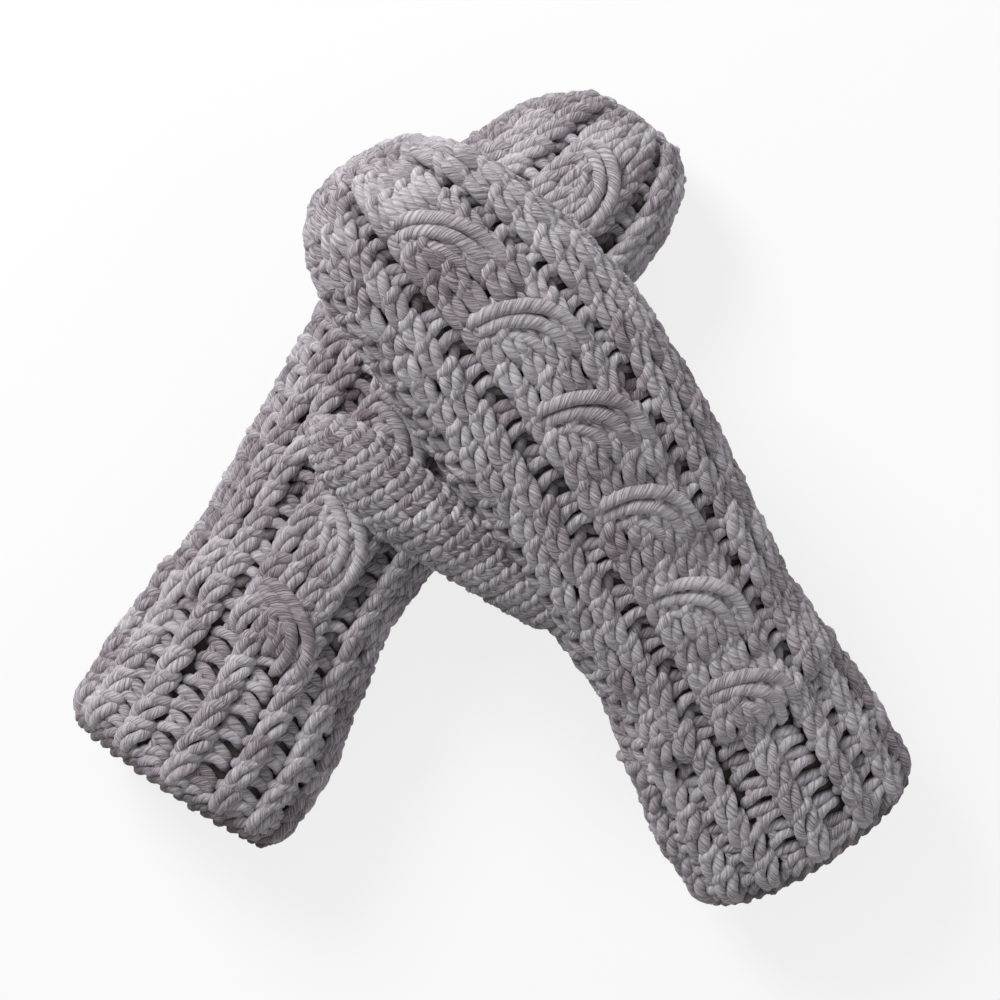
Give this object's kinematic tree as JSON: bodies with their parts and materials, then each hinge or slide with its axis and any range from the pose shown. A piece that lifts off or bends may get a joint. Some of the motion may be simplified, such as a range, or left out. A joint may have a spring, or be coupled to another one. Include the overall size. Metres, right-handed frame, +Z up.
{
  "type": "crochet mittens",
  "caption": "Pair of chunky ribbed-cuff mittens with a cable up the back of each hand, laid crossed, one over the other.",
  "frame": {"origin": "on the surface the pair lies on, under the middle of the pair's bounding box", "axes": "+Z up from the surface, +Y towards the finger tips, +X towards the right mitten's cuff; the cuffs open towards -Y"},
  "size_m": [0.2972, 0.2882, 0.1274],
  "materials": {
    "yarn_rim": "chain round of soft chunky yarn",
    "yarn_cuff": "recessed back-post stitches of soft chunky yarn",
    "yarn_ribs": "raised front-post stitches of soft chunky yarn",
    "yarn_plain": "rows of soft chunky yarn, V-shaped stitches",
    "yarn_posts": "raised front-post columns of soft chunky yarn",
    "yarn_cable": "raised cable stitches of soft chunky yarn",
    "yarn_thumb": "small close rounds of soft chunky yarn"
  },
  "bodies": {
    "left_mitten": {"left_cuff_edge": "yarn_rim", "left_cuff": "yarn_cuff", "left_cuff_ribs": "yarn_ribs", "left_hand": "yarn_plain", "left_fingers": "yarn_plain", "left_tip_gather": "yarn_plain", "left_thumb_side_columns": "yarn_posts", "left_outer_columns": "yarn_posts", "left_thumb_gusset": "yarn_thumb", "left_cable_strand_a": "yarn_cable", "left_cable_strand_b": "yarn_cable"},
    "left_thumb": {"left_thumb": "yarn_thumb", "left_thumb_tip": "yarn_thumb"},
    "right_mitten": {"right_cuff_edge": "yarn_rim", "right_cuff": "yarn_cuff", "right_cuff_ribs": "yarn_ribs", "right_hand": "yarn_plain", "right_fingers": "yarn_plain", "right_tip_gather": "yarn_plain", "right_thumb_side_columns": "yarn_posts", "right_outer_columns": "yarn_posts", "right_thumb_gusset": "yarn_thumb", "right_cable_strand_a": "yarn_cable", "right_cable_strand_b": "yarn_cable"},
    "right_thumb": {"right_thumb": "yarn_thumb", "right_thumb_tip": "yarn_thumb"}
  },
  "joints": [
    {"name": "right_lift", "type": "slide", "parent": "left_mitten", "child": "right_mitten", "axis": [0, 0, 1], "range_m": [0, 0.12]},
    {"name": "left_thumb_swing", "type": "hinge", "parent": "left_mitten", "child": "left_thumb", "pos_m": [0.04173, 0.0117, 0.016], "axis": [0, 0, -1], "range_deg": [0, 25], "stiffness_Nm_per_rad": 0.02},
    {"name": "right_thumb_swing", "type": "hinge", "parent": "right_mitten", "child": "right_thumb", "pos_m": [-0.03699, -0.01369, 0.07888], "axis": [0.1635, -0.2461, 0.9553], "range_deg": [0, 25], "stiffness_Nm_per_rad": 0.02}
  ]
}
